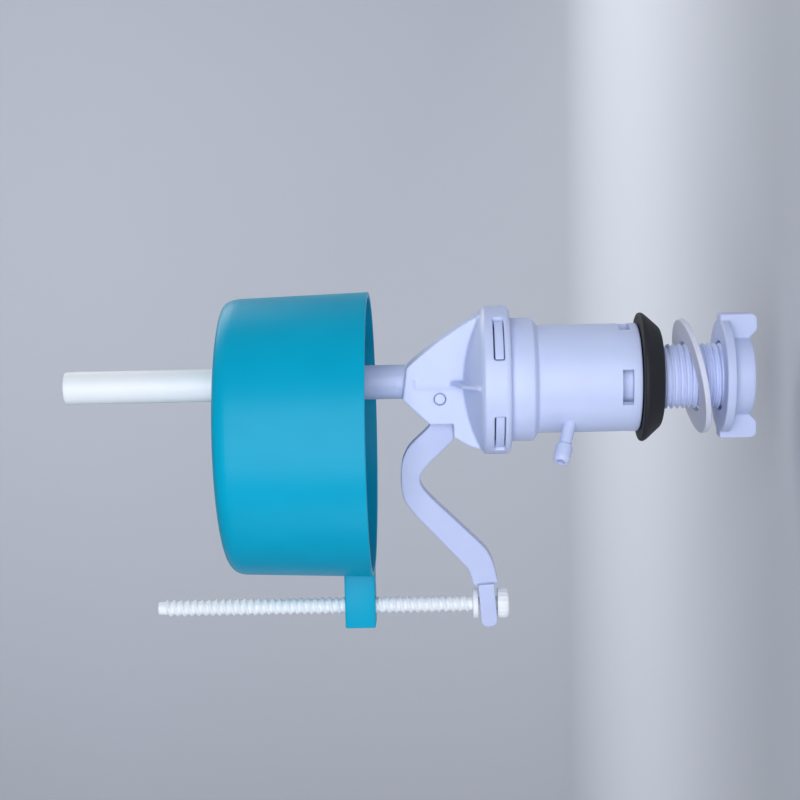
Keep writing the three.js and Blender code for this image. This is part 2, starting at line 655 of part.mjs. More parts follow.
// ---- Float cup ----------------------------------------------------------------------------------------
function floatCup() {
  const draft = (height) =>
    FLOAT_RIM_RADIUS + ((FLOAT_TOP_RADIUS - FLOAT_RIM_RADIUS) * (height - FLOAT_BOTTOM)) / FLOAT_HEIGHT;
  // The round edge, as an arc of a given radius about the edge's centre, from the side up to the closed end.
  const edge = (radius) =>
    [0, 30, 60, 90].map((degrees) => [
      FLOAT_TOP_RADIUS - FLOAT_EDGE + radius * Math.cos(radians(degrees)),
      FLOAT_TOP - FLOAT_EDGE + radius * Math.sin(radians(degrees)),
    ]);
  const shell = turned([
    [0, FLOAT_TOP - FLOAT_WALL],
    ...edge(FLOAT_EDGE - FLOAT_WALL).reverse(),
    [draft(FLOAT_BOTTOM) - FLOAT_WALL, FLOAT_BOTTOM],
    [draft(FLOAT_BOTTOM), FLOAT_BOTTOM],
    ...edge(FLOAT_EDGE),
    [0, FLOAT_TOP],
  ]);
  const inside = FLOAT_OFFSET + FLOAT_RIM_RADIUS - FLOAT_WALL;
  const half = BRACKET_WIDTH / 2;
  const end = ROD_OFFSET + BRACKET_LIP;
  const bracket = block([inside, end], [-half, half], [FLOAT_BOTTOM, FLOAT_BOTTOM + BRACKET_HEIGHT]);
  const hole = disc(ROD_RADIUS + TOUCH_GAP, FLOAT_BOTTOM - 1, FLOAT_TOP, ROUND_SMALL);
  const rodHole = moved(hole, ROD_OFFSET, 0, 0);
  return moved(shell, FLOAT_OFFSET, 0, 0)
    .add(disc(FLOAT_SLEEVE_RADIUS, FLOAT_BOTTOM + 3, FLOAT_TOP - 0.5, 24))
    .add(bracket)
    .subtract(rodHole)
    .subtract(disc(FLOAT_BORE, FLOAT_BOTTOM, FLOAT_TOP + 1, 24));
}

add("float_cup", floatCup(), tealPlastic);

// ---- Adjusting rod ------------------------------------------------------------------------------------
function adjustingRod() {
  const collarBottom = FORK_HEIGHT + FORK_GAP;
  const collarTop = collarBottom + ROD_COLLAR_THICKNESS;
  const knobTop = FORK_HEIGHT - FORK_GAP;
  const root = ROD_RADIUS - ROD_THREAD_DEPTH;
  const thread = threadedRod(ROD_RADIUS, ROD_THREAD_DEPTH, ROD_PITCH, collarTop + 1, ROD_TOP - ROD_LEAD, 8);
  const foot = turned(
    [
      [0, knobTop - ROD_KNOB_HEIGHT],
      [ROD_COLLAR_RADIUS, knobTop - ROD_KNOB_HEIGHT],
      [ROD_COLLAR_RADIUS, knobTop],
      [ROD_NECK_RADIUS, knobTop],
      [ROD_NECK_RADIUS, collarBottom],
      [ROD_COLLAR_RADIUS, collarBottom],
      [ROD_COLLAR_RADIUS, collarTop],
      [root, collarTop],
      [root, collarTop + 2],
      [0, collarTop + 2],
    ],
    16,
  );
  return moved(thread.add(foot).add(disc(root, ROD_TOP - 2 * ROD_LEAD, ROD_TOP, 8)), ROD_OFFSET, 0, 0);
}

add("adjusting_rod", adjustingRod(), creamPlastic);

// ---- Lever --------------------------------------------------------------------------------------------
// Turns a solid about the pivot, by degrees, with the outer end going down where they are positive.
const turnedAtPivot = (made, degrees) =>
  moved(moved(made, -PIVOT_X, 0, -PIVOT_Z).rotate([0, degrees, 0]), PIVOT_X, 0, PIVOT_Z);

// The arm climbs out of the cap, goes over a round elbow and runs down to the fork.
function armOutline() {
  const shape = new THREE.Shape();
  const pivot = (x, z) => [PIVOT_X + x, PIVOT_Z + z];
  const elbow = (x, z) => [ELBOW_X + x, ELBOW_TOP + z];
  const end = (x, z) => [ROD_OFFSET - ARM_END + x, FORK_HEIGHT + z];
  shape.moveTo(...pivot(0, HUB_RADIUS));
  shape.lineTo(...pivot(8.8, 3));
  shape.lineTo(...elbow(-10.9, -2.6));
  shape.quadraticCurveTo(...elbow(-7, 0), ...elbow(0, 0));
  shape.quadraticCurveTo(...elbow(6.3, 0), ...elbow(10.1, -3.2));
  shape.lineTo(...end(-5.4, 6));
  shape.lineTo(...end(0, 4.5));
  shape.lineTo(...end(-0.9, -3.4));
  shape.lineTo(...end(-7.4, -2));
  shape.quadraticCurveTo(...end(-10, -1.7), ...end(-11.8, 0));
  shape.lineTo(...elbow(4, -7.8));
  shape.quadraticCurveTo(...elbow(-0.1, -5.2), ...elbow(-3.9, -7.6));
  shape.lineTo(...pivot(13.6, -4.2));
  shape.lineTo(...pivot(0, -HUB_RADIUS));
  return shape;
}

function fork() {
  const shape = new THREE.Shape();
  shape.moveTo(-FORK_ROOT, -FORK_HALF_DEPTH);
  shape.lineTo(FORK_REACH, -FORK_HALF_DEPTH);
  shape.absarc(FORK_REACH, 0, FORK_HALF_DEPTH, -Math.PI / 2, Math.PI / 2, false);
  shape.lineTo(-FORK_ROOT, FORK_HALF_DEPTH);
  const half = FORK_SLOT / 2;
  const prongs = plate(shape, FORK_WIDTH).subtract(block([-4, ROD_OFFSET], [-half, half], [-10, 10]));
  return moved(prongs.rotate([0, FORK_TILT, 0]), ROD_OFFSET, 0, FORK_HEIGHT);
}

// The foot that holds the rubber pad is level when the lever is shut, so it is drawn there and swung open.
function padFoot() {
  const bottom = SEAL_BOTTOM + SEAL_THICKNESS + TOUCH_GAP;
  const half = LEVER_THICKNESS / 2;
  const pad = SEAL_RADIUS + 0.4;
  const arm = block([-pad - 0.4, PIVOT_X], [-half, half], [bottom + 1, PIVOT_Z + 2.2]);
  return turnedAtPivot(arm.add(block([-pad, pad], [-half, half], [bottom, bottom + 2])), SWING);
}

function leverArm() {
  const hub = crossPin(HUB_RADIUS, LEVER_THICKNESS, PIVOT_X, PIVOT_Z);
  return plate(armOutline(), LEVER_THICKNESS, 5)
    .add(hub)
    .add(fork())
    .add(padFoot())
    .subtract(crossPin(PIN_HOLE, LEVER_THICKNESS + 2, PIVOT_X, PIVOT_Z));
}

add("lever_arm", leverArm(), whitePlastic);
const pad = disc(SEAL_RADIUS, SEAL_BOTTOM, SEAL_BOTTOM + SEAL_THICKNESS, ROUND_SMALL);
add("vent_seal", turnedAtPivot(pad, SWING), blackRubber);

// ---- Washer and wing nut ------------------------------------------------------------------------------
function clampWasher() {
  const bore = SHANK_RADIUS + 0.8;
  const half = WASHER_THICKNESS / 2;
  const flat = turned([[bore, -half], [WASHER_RADIUS, -half], [WASHER_RADIUS, half], [bore, half]]);
  return moved(flat.rotate([-WASHER_LEAN, WASHER_TILT, 0]), 0, 0, WASHER_HEIGHT);
}

function wingNut() {
  const bottom = NUT_TOP - NUT_HEIGHT;
  const body = turned([
    [0, bottom],
    [NUT_BODY_RADIUS - NUT_BODY_EASE, bottom],
    [NUT_BODY_RADIUS, bottom + NUT_BODY_EASE],
    [NUT_BODY_RADIUS, NUT_TOP - NUT_FLANGE_THICKNESS],
    [NUT_FLANGE_RADIUS, NUT_TOP - NUT_FLANGE_THICKNESS],
    [NUT_FLANGE_RADIUS, NUT_TOP],
    [0, NUT_TOP],
  ]);
  const wing = new THREE.Shape();
  const inner = SHANK_RADIUS + 1.2;
  wing.moveTo(inner, NUT_TOP);
  wing.lineTo(inner, WING_BOTTOM + WING_CUT);
  wing.lineTo(inner + WING_CUT, WING_BOTTOM);
  wing.lineTo(WING_REACH - WING_CORNER, WING_BOTTOM);
  wing.absarc(WING_REACH - WING_CORNER, WING_BOTTOM + WING_CORNER, WING_CORNER, -Math.PI / 2, 0, false);
  wing.lineTo(WING_REACH, NUT_TOP);
  const wings = plate(wing, WING_WIDTH, 4);
  const bore = disc(SHANK_RADIUS + SLIDE_GAP, bottom - 3, NUT_TOP + 1, 24);
  return body.add(wings).add(wings.rotate([0, 0, 180])).subtract(bore);
}

add("clamp_washer", clampWasher(), whitePlastic);
add("wing_nut", wingNut(), whitePlastic);

export default part;
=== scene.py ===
# %% [markdown]
# # A bottom-inlet float valve for a cistern
#
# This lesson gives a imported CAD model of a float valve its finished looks. The CAD model says where every
# piece is and how it moves. Each new piece below is a smooth, fine surface in the same place, and each
# finish is a procedural material. Lengths are written in millimetres, because that is how a maker thinks of
# a valve, and one helper turns them to Blender's metres.

import math

import bmesh
import bpy
import numpy as np
from mathutils import Matrix, Vector


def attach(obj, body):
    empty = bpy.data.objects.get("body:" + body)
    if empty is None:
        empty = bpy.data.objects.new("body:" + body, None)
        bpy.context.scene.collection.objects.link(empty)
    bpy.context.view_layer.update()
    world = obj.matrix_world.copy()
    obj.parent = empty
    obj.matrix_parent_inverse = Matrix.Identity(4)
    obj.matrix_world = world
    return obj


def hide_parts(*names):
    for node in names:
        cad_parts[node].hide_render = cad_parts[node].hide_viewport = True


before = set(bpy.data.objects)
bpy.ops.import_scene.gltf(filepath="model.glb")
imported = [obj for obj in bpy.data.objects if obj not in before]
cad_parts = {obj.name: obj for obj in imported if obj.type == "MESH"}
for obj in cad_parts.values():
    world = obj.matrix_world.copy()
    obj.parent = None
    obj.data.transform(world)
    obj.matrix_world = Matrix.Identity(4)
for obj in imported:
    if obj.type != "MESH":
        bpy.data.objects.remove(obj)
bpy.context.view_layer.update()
MM = 0.001

# %% [markdown]
# ## The camera
#
# The valve is drawn as it stands in a cistern, with its guide tube pointing up. It is looked at from its
# own side with the camera rolled a quarter turn, so the tube points left and the lever hangs down. The
# camera looks along a direction turned eight degrees round the valve, which shows a little more of the
# lever's side. Its axes are worked out as three unit vectors and set as one matrix.

# %% Camera
VALVE_ROLL = math.radians(8)  # turn round the valve's own axis
VIEW_YAW = math.radians(1.42)  # the optical axis leans towards the tube
VIEW_TWIST = math.radians(1.15)  # roll about the optical axis
CAMERA_DISTANCE = 513
CAMERA_HEIGHT = 69.8
CAMERA_SIDE = 5.83  # the camera stands this much towards the lever
LENS = 72.45  # for a sensor 36 mm wide

away = Vector((math.sin(VALVE_ROLL), -math.cos(VALVE_ROLL), 0))
down = Vector((math.cos(VALVE_ROLL), math.sin(VALVE_ROLL), 0))
towards_tube = Vector((0, 0, 1))
forward = math.cos(VIEW_YAW) * away + math.sin(VIEW_YAW) * towards_tube
level_right = math.sin(VIEW_YAW) * away - math.cos(VIEW_YAW) * towards_tube
right = math.cos(VIEW_TWIST) * level_right - math.sin(VIEW_TWIST) * -down
up = right.cross(forward)

camera_data = bpy.data.cameras.new("camera")
camera_data.sensor_width = 36
camera_data.lens = LENS
camera_data.clip_start, camera_data.clip_end = 0.01, 20
camera = bpy.data.objects.new("camera", camera_data)
bpy.context.scene.collection.objects.link(camera)
place = Vector((0, 0, CAMERA_HEIGHT)) - CAMERA_DISTANCE * away + CAMERA_SIDE * down
turn = Matrix((right, up, -forward)).transposed()
camera.matrix_world = Matrix.Translation(place * MM) @ turn.to_4x4()
bpy.context.scene.camera = camera
print("camera at", [round(v, 1) for v in place], "mm, lens", LENS)

# %% [markdown]
# ## Floor and light
#
# A plain pale sweep stands under and far behind the valve: a floor that curves up into a wall, made as one
# profile carried sideways. It lies as low as the wing nut can go when it is unscrewed. Three large soft
# lamps stand round it: a wide key from the viewer's side, a lower fill and a rim lamp on the far side. They
# are hidden from the camera itself, so that no lamp shows when the valve is looked at from another side.


# %% Floor and lamps
def rgb(text):
    """A colour written as sRGB hex, as the linear values that Blender's nodes take."""
    part = np.array([int(text[i : i + 2], 16) for i in (1, 3, 5)]) / 255
    linear = np.where(part <= 0.04045, part / 12.92, ((part + 0.055) / 1.055) ** 2.4)
    return (*linear.tolist(), 1.0)


def add_node(tree, kind, links=(), at=(0, 0), **values):
    """A node of that kind. Values are its settings or the numbers on its sockets; links are
    (socket, output of another node)."""
    made = tree.nodes.new(kind)
    made.location = at
    for key, value in values.items():
        if hasattr(made, key):
            setattr(made, key, value)
        else:
            made.inputs[key.replace("_", " ")].default_value = value
    for socket, output in links:
        tree.links.new(output, made.inputs[socket])
    return made


SWEEP_DEPTH, SWEEP_RADIUS, SWEEP_WIDTH = 1400, 500, 3200
FLOOR_HEIGHT = -43
bend = np.linspace(0, math.pi / 2, 24)
sweep_y = np.concatenate([[2600], -SWEEP_DEPTH + SWEEP_RADIUS * (1 - np.sin(bend)), [-SWEEP_DEPTH]])
sweep_z = np.concatenate([[0], SWEEP_RADIUS * (1 - np.cos(bend)), [2600]]) + FLOOR_HEIGHT
edge = np.array([-SWEEP_WIDTH, SWEEP_WIDTH])
x, y = np.meshgrid(edge, sweep_y)
points = np.stack([x, y, np.broadcast_to(sweep_z[:, None], x.shape)], axis=-1).reshape(-1, 3) * MM
row = 2 * np.arange(len(sweep_y) - 1)
faces = np.stack([row, row + 1, row + 3, row + 2], axis=1)
floor_mesh = bpy.data.meshes.new("sweep")
floor_mesh.from_pydata(points.tolist(), [], faces.tolist())
floor_mesh.polygons.foreach_set("use_smooth", np.ones(len(faces), bool))
floor = bpy.data.objects.new("sweep", floor_mesh)
bpy.context.scene.collection.objects.link(floor)

paper = bpy.data.materials.new("matt_studio_paper")
paper.use_nodes = True
paper_shader = paper.node_tree.nodes["Principled BSDF"]
paper_shader.inputs["Base Color"].default_value = rgb("#D6D9DE")
paper_shader.inputs["Roughness"].default_value = 0.9
floor_mesh.materials.append(paper)

world = bpy.data.worlds.new("room")
world.use_nodes = True
world.node_tree.nodes["Background"].inputs["Color"].default_value = rgb("#DCE3F0")
world.node_tree.nodes["Background"].inputs["Strength"].default_value = 0.26
bpy.context.scene.world = world
bpy.context.scene.view_settings.view_transform = "Standard"

LAMPS = {  # name: (place, what it points at, width, height, watts, colour), in mm
    "key": ((-80, 900, 210), (10, 0, 80), 1000, 500, 6.9, "#F4F6FF"),
    "fill": ((800, 500, 60), (10, 0, 60), 400, 400, 1.2, "#E6ECFF"),
    "back": ((-500, -500, 500), (0, 0, 80), 500, 500, 2.4, "#FFFFFF"),
    "wall": ((0, -350, 700), (0, -1400, 250), 900, 900, 5.0, "#F4F6FF"),
}
for name, (spot, target, width, depth, watts, colour) in LAMPS.items():
    data = bpy.data.lights.new(name, "AREA")
    data.shape, data.energy = "RECTANGLE", watts
    data.size, data.size_y = width * MM, depth * MM
    data.color = rgb(colour)[:3]
    lamp = bpy.data.objects.new(name, data)
    aim = (Vector(target) - Vector(spot)).to_track_quat("-Z", "Y").to_matrix().to_4x4()
    lamp.matrix_world = Matrix.Translation(Vector(spot) * MM) @ aim
    lamp.visible_camera = False
    bpy.context.scene.collection.objects.link(lamp)
print(len(LAMPS), "lamps")

# %% [markdown]
# ## Surfaces from grids
#
# Almost every piece of a moulded valve is round or flat. A round one is a profile of radius and height
# carried round an axis, and a flat one is an outline carried across a thickness. Both are grids of points,
# worked out as whole arrays. Corners get a small radius, as every moulded corner has, because a perfectly
# sharp edge catches no light and looks drawn rather than made.


# %% Grid helpers
def mesh_piece(name, points, faces, crease=35):
    """An object from points in millimetres and faces. If the summed volume under the faces is negative,
    they point inwards, so each face is turned round. Edges sharper than crease degrees stay sharp."""
    points = np.asarray(points, float)
    volume = 0.0
    if isinstance(faces, np.ndarray):
        corner = points[faces]
        for k in range(1, faces.shape[1] - 1):
            volume += np.einsum("ij,ij->", corner[:, 0], np.cross(corner[:, k], corner[:, k + 1]))
        faces = faces[:, ::-1] if volume < 0 else faces
        faces = faces.tolist()
    mesh = bpy.data.meshes.new(name)
    mesh.from_pydata((points * MM).tolist(), [], faces)
    made = bpy.data.objects.new(name, mesh)
    bpy.context.scene.collection.objects.link(made)
    shade(made, crease)
    return made


def shade(piece, crease=35):
    """Smooth shading, with edges sharper than crease degrees kept sharp."""
    mesh = piece.data
    mesh.polygons.foreach_set("use_smooth", np.ones(len(mesh.polygons), bool))
    mesh.set_sharp_from_angle(angle=math.radians(crease))


def rounded(corners, radius, steps=5, closed=True):
    """Each corner becomes a short curve that starts and ends radius away from it, or as far as the sides
    allow: a blend (1-t)^2 A + 2t(1-t) corner + t^2 B."""
    corners = np.asarray(corners, float)
    radius = np.broadcast_to(np.asarray(radius, float), len(corners))[:, None]
    before, after = np.roll(corners, 1, 0) - corners, np.roll(corners, -1, 0) - corners
    back, on = np.linalg.norm(before, axis=1, keepdims=True), np.linalg.norm(after, axis=1, keepdims=True)
    start = corners + before / back * np.minimum(radius, 0.45 * back)
    end = corners + after / on * np.minimum(radius, 0.45 * on)
    t = np.linspace(0, 1, steps)[:, None]
    curve = (1 - t) ** 2 * start[:, None] + 2 * t * (1 - t) * corners[:, None] + t**2 * end[:, None]
    if not closed:
        curve[0], curve[-1] = corners[0], corners[-1]
    return curve.reshape(-1, corners.shape[1])


def spaced(path, step, closed=True):
    """The same path with extra points, so that no two are further apart than step along it."""
    path = np.vstack([path, path[:1]]) if closed else np.asarray(path, float)
    along = np.concatenate([[0], np.cumsum(np.linalg.norm(np.diff(path, axis=0), axis=1))])
    keep = np.concatenate([[True], np.diff(along) > 1e-6])
    path, along = path[keep], along[keep]
    wanted = np.unique(np.round(np.concatenate([along, np.arange(0, along[-1], step)]), 5))
    wanted = wanted[np.concatenate([[True], np.diff(wanted) > 1e-3])]
    wanted = wanted[:-1] if closed else wanted
    return np.stack([np.interp(wanted, along, path[:, k]) for k in range(path.shape[1])], axis=1)


def grid_faces(rows, columns, close_rows):
    """Four-sided faces of a grid whose columns always close into a ring, and whose rows close into one
    only if close_rows."""
    i = np.arange(rows if close_rows else rows - 1)[:, None]
    j = np.arange(columns)[None, :]
    a, b = (i % rows) * columns, ((i + 1) % rows) * columns
    k = (j + 1) % columns
    return np.stack(np.broadcast_arrays(a + j, a + k, b + k, b + j), axis=-1).reshape(-1, 4)


def turned(name, profile, sides=128, closed=True, radius_change=None, crease=35):
    """A round piece: point (radius, height) of the profile goes to (radius cos a, radius sin a, height) for
    each angle a. radius_change adds to the radius a function of (profile radius, height, angle). An open
    profile starts and ends on the axis, where its points are merged into one."""
    profile = np.asarray(profile, float)
    angle = np.arange(sides) * 2 * math.pi / sides
    radius = np.broadcast_to(profile[:, :1], (len(profile), sides)).copy()
    height = np.broadcast_to(profile[:, 1:2], radius.shape)
    if radius_change is not None:
        radius = np.where(radius > 0, radius + radius_change(radius, height, angle[None, :]), 0)
    points = np.stack([radius * np.cos(angle), radius * np.sin(angle), height], axis=-1)
    faces = grid_faces(len(profile), sides, closed)
    points = points.reshape(-1, 3)
    if not closed:
        poles = np.arange(len(points))
        poles[:sides], poles[-sides:] = 0, len(points) - sides
        used = np.concatenate([[0], np.arange(sides, len(points) - sides + 1)])
        renumber = np.zeros(len(points), int)
        renumber[used] = np.arange(len(used))
        faces = renumber[poles[faces]]
        points = points[used]
        first = (faces == 0).any(1) | (faces == len(points) - 1).any(1)
        # A face at a pole names the pole twice, so it becomes a triangle.
        fans = [list(dict.fromkeys(face)) for face in faces[first].tolist()]
        quads = faces[~first]
        corner = points[quads]
        volume = sum(
            np.einsum("ij,ij->", corner[:, 0], np.cross(corner[:, k], corner[:, k + 1])) for k in (1, 2)
        )
        faces = quads.tolist() + fans
        if volume < 0:
            faces = [face[::-1] for face in faces]
    return mesh_piece(name, points, faces, crease)


def plate(name, outline, thickness, bevel=0.0, steps=3):
    """A flat piece: an outline of (x, z) points carried along y from -thickness/2 to thickness/2. bevel
    rounds its edges."""
    outline = np.asarray(outline, float)
    n = len(outline)
    side = np.full(n, thickness / 2)
    points = np.vstack(
        [np.stack([outline[:, 0], s * side, outline[:, 1]], axis=1) for s in (-1, 1)]
    )
    j, k = np.arange(n), np.roll(np.arange(n), -1)
    area = np.sum(outline[:, 0] * np.roll(outline[:, 1], -1) - np.roll(outline[:, 0], -1) * outline[:, 1])
    faces = [np.arange(n).tolist(), np.arange(2 * n - 1, n - 1, -1).tolist()]
    faces += np.stack([j, n + j, n + k, k], axis=1).tolist()
    if area < 0:
        faces = [face[::-1] for face in faces]
    made = mesh_piece(name, points, faces)
    if bevel:
        rounding = made.modifiers.new("edges", "BEVEL")
        rounding.width, rounding.segments = bevel * MM, steps
        rounding.limit_method, rounding.angle_limit = "ANGLE", math.radians(40)
        settle(made)
    return made


def settle(piece, crease=35):
    """The piece's modifiers become its mesh."""
    bpy.context.view_layer.update()
    depsgraph = bpy.context.evaluated_depsgraph_get()
    mesh = bpy.data.meshes.new_from_object(piece.evaluated_get(depsgraph))
    piece.modifiers.clear()
    piece.data = mesh
    shade(piece, crease)
    return piece


def put(piece, matrix):
    """Turns or moves a piece by changing its mesh, so that its object stays at the origin."""
    piece.data.transform(matrix)
    return piece


def move(x, y, z):
    return Matrix.Translation(Vector((x, y, z)) * MM)


def spin(degrees, axis):
    return Matrix.Rotation(math.radians(degrees), 4, axis)


def edges_and_volume(piece):
    """How many edges don't join exactly two faces, and the volume in mm3 that the faces enclose."""
    shape = bmesh.new()
    shape.from_mesh(piece.data)
    counts = sum(not edge.is_manifold for edge in shape.edges), shape.calc_volume() / MM**3
    shape.free()
    return counts


def combine(piece, others, operation, crease=35):
    """Joins others to the piece, or cuts them out of it, one at a time. The manifold solver keeps a closed
    mesh closed. Afterwards no edge may be open, because a skin laid over an open mesh loses most of it."""
    for other in others:
        step = piece.modifiers.new("step", "BOOLEAN")
        step.operation, step.solver, step.object = operation, "MANIFOLD", other
        settle(piece, crease)
        bpy.data.objects.remove(other)
    open_edges, volume = edges_and_volume(piece)
    print(f"{piece.name}: {operation.lower()} of {len(others)}, {volume:.0f} mm3, {open_edges} open edges")
    if open_edges:
        raise RuntimeError(f"{piece.name} has {open_edges} open edges after its {operation.lower()}")
    return piece


def soften(piece, voxel, passes):
    """One even skin over everything that was joined, with every inner and outer corner slightly round: a
    voxel remesh, and then some passes of smoothing."""
    skin = piece.modifiers.new("skin", "REMESH")
    skin.mode, skin.voxel_size = "VOXEL", voxel * MM
    smooth = piece.modifiers.new("smooth", "SMOOTH")
    smooth.factor, smooth.iterations = 0.5, passes
    before = edges_and_volume(piece)[1]
    settle(piece, 60)
    after = edges_and_volume(piece)[1]
    if not 0.9 < after / before < 1.1:
        raise RuntimeError(f"{piece.name} went from {before:.0f} to {after:.0f} mm3 under its skin")
    return piece


def finish_piece(piece, body, slot, material, *nodes):
    """Gives a piece its material and ties it to the CAD: the body it rides on and what it stands for."""
    piece.data.materials.clear()
    piece.data.materials.append(material)
    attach(piece, body)
    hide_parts(*nodes)
    faces = len(piece.data.polygons)
    size = np.array(piece.dimensions) / MM
    print(f"{piece.name}: {faces} faces, {size[0]:.1f} x {size[1]:.1f} x {size[2]:.1f} mm, on {body}")
    return piece


# %% [markdown]
# ## Moulded plastics
#
# The valve is nearly all moulded polypropylene and acetal. Moulded plastic copies the polish of its mould,
# so it is smooth, but it never lies quite flat: thick places sink a little as they cool, which shows as
# very soft waves in the highlights. It also lets a little light in, which fills its shadows. One function
# makes each plastic from its colours, its gloss and how far light travels in it.


# %% Plastics
def moulded(name, colour, shade_colour, roughness, ripple_mm, grain_mm, bump=0.05, milky=0.0, specular=0.5):
    """A moulded plastic. A large soft noise moves the colour between two close tones, the sink waves and a
    fine grain of the mould bend the normal, and the same noise moves the roughness a little."""
    made = bpy.data.materials.new(name)
    made.use_nodes = True
    tree = made.node_tree
    shader = tree.nodes["Principled BSDF"]
    place = add_node(tree, "ShaderNodeTexCoord", at=(-1300, 0)).outputs["Object"]
    waves = add_node(
        tree, "ShaderNodeTexNoise", [("Vector", place)], (-1000, 200), Scale=1 / (ripple_mm * MM), Detail=1.5
    ).outputs["Fac"]
    grain = add_node(
        tree, "ShaderNodeTexNoise", [("Vector", place)], (-1000, -200), Scale=1 / (grain_mm * MM), Detail=3.0
    ).outputs["Fac"]
    tone = add_node(tree, "ShaderNodeMix", [("Factor", waves)], (-600, 300), data_type="RGBA")
    tone.inputs[6].default_value = rgb(colour)
    tone.inputs[7].default_value = rgb(shade_colour)
    tree.links.new(tone.outputs[2], shader.inputs["Base Color"])
    low, high = roughness - 0.04, roughness + 0.06
    gloss = add_node(tree, "ShaderNodeMapRange", [("Value", grain)], (-600, 0), To_Min=low, To_Max=high)
    tree.links.new(gloss.outputs["Result"], shader.inputs["Roughness"])
    sink = add_node(
        tree,
        "ShaderNodeBump",
        [("Height", waves)],
        (-500, -300),
        Strength=0.35 * bump / 0.05,
        Distance=0.00008,
    )
    skin = add_node(
        tree,
        "ShaderNodeBump",
        [("Height", grain), ("Normal", sink.outputs["Normal"])],
        (-250, -300),
        Strength=bump,
        Distance=0.00003,
    )
    tree.links.new(skin.outputs["Normal"], shader.inputs["Normal"])
    shader.inputs["IOR"].default_value = 1.49
    shader.inputs["Subsurface Weight"].default_value = milky
    shader.inputs["Subsurface Radius"].default_value = (1.0, 1.0, 1.0)
    shader.inputs["Subsurface Scale"].default_value = 0.0012
    shader.inputs["Specular IOR Level"].default_value = specular
    return made


# Bright bluish white acetal: the sleeve, cap, lever and shank.
white_acetal = moulded("white_acetal_moulded", "#D3DDFA", "#CBD6F6", 0.36, 9, 0.35, milky=0.12)
# Natural polypropylene, a warmer and slightly waxy white: the guide tube and the adjusting rod.
natural_polypropylene = moulded("natural_polypropylene_drawn", "#F8FCFC", "#F0F6F8", 0.42, 7, 0.3, milky=0.3)
# Glossy teal polypropylene, coloured through: the float cup.
teal_polypropylene = moulded("teal_polypropylene_gloss", "#00ABCC", "#00A3C4", 0.34, 12, 0.5, specular=0.15)
# The nut and its washer are a greyer, less polished white.
greyed_acetal = moulded("greyed_white_acetal", "#C9D3F2", "#C1CBE8", 0.45, 6, 0.3, milky=0.08)
# The lever is the same acetal as the sleeve, painted a tone darker than the sleeve's: painted shade.
lever_acetal_painted_shade = moulded("lever_acetal_painted_darker", "#C2CCEC", "#BAC4E4", 0.36, 8, 0.35, milky=0.1)
# A slightly greyer plastic, stamped from sheet, with less polish: the washer.
washer_plastic = moulded("stamped_grey_plastic", "#DDE0EE", "#D3D6E4", 0.5, 6, 0.3)
# Light grey acetal: the small parts inside.
grey_acetal = moulded("light_grey_acetal", "#C4C8CF", "#B8BCC4", 0.5, 5, 0.3)
# Matt black nitrile rubber, with the fine grain of an unpolished mould: the gasket and seals.
black_nitrile = moulded("black_nitrile_rubber", "#17181B", "#1E1F23", 0.62, 4, 0.25, bump=0.3)
print("materials:", [m.name for m in bpy.data.materials])

# %% [markdown]
# ## Guide tube
#
# The float slides on a plain tube that is plugged into the neck of the cap. It is one closed profile, up
# the outside and down the inside, carried round the axis. A shallow nick at its open end takes the hook of
# a refill clip, and is a local dip in the radius.

# %% Guide tube
TUBE_RADIUS, TUBE_BORE, TUBE_FOOT, TUBE_TOP = 5.25, 3.95, 112.3, 189.5
PLUG_RADIUS, PLUG_BORE, PLUG_FOOT = 3.4, 2.1, 97.0
tube_profile = rounded(
    [
        (PLUG_BORE, PLUG_FOOT),
        (PLUG_RADIUS, PLUG_FOOT),
        (PLUG_RADIUS, TUBE_FOOT),
        (TUBE_RADIUS, TUBE_FOOT),
        (TUBE_RADIUS, TUBE_TOP),
        (TUBE_BORE, TUBE_TOP),
        (TUBE_BORE, TUBE_FOOT + 3),
        (PLUG_BORE, TUBE_FOOT + 2),
    ],
    0.45,
)


def nick(radius, height, angle):
    """A dip 0.6 mm deep in the outer wall, 2.5 mm long, on the side away from the lever."""
    round_it = np.exp(-(((angle - math.pi) / 0.16) ** 4))
    along = np.clip((height - (TUBE_TOP - 2.5)) / 0.4 + 0.5, 0, 1)
    return -0.6 * round_it * along * (radius > TUBE_BORE + 0.6)


guide_tube = turned("guide_tube_smooth", spaced(tube_profile, 0.6), 96, radius_change=nick)
finish_piece(guide_tube, "housing", "cream_plastic", natural_polypropylene, "guide_tube")

# %% [markdown]
# ## Float cup
#
# The float is an open cup turned upside down, so it traps air. Its bore for the tube is not in its middle:
# the cup is set towards the lever. So the profile carries a third value, the centre of each circle, and a
# row of the grid is a circle of that radius round that centre. Going up the outside, over the round edge,
# in across the closed end, down the bore and back along the inside gives one closed skin. The bracket that
# holds the adjusting rod is a small block with rounded edges, joined on near the rim.

# %% Float cup
FLOAT_OFFSET, FLOAT_BOTTOM, FLOAT_TOP = 16.7, 91.9, 137.8
RIM_RADIUS, TOP_RADIUS, WALL, EDGE = 45.4, 43.9, 1.5, 4.4
BORE, BORE_SLEEVE = 5.95, 7.55
ROD_X = 73.0
cup_profile = [  # (centre, radius, height, corner radius)
    (FLOAT_OFFSET, RIM_RADIUS, FLOAT_BOTTOM, 0.35),
    (FLOAT_OFFSET, TOP_RADIUS, FLOAT_TOP, EDGE * 1.3),
    (0, BORE, FLOAT_TOP, 0.6),
    (0, BORE, FLOAT_BOTTOM + 3, 0.3),
    (0, BORE_SLEEVE, FLOAT_BOTTOM + 3, 0.3),
    (0, BORE_SLEEVE, FLOAT_TOP - WALL, 1.0),
    (FLOAT_OFFSET, TOP_RADIUS - WALL, FLOAT_TOP - WALL, EDGE),
    (FLOAT_OFFSET, RIM_RADIUS - WALL, FLOAT_BOTTOM, 0.35),
]
cup_profile = np.array(cup_profile)
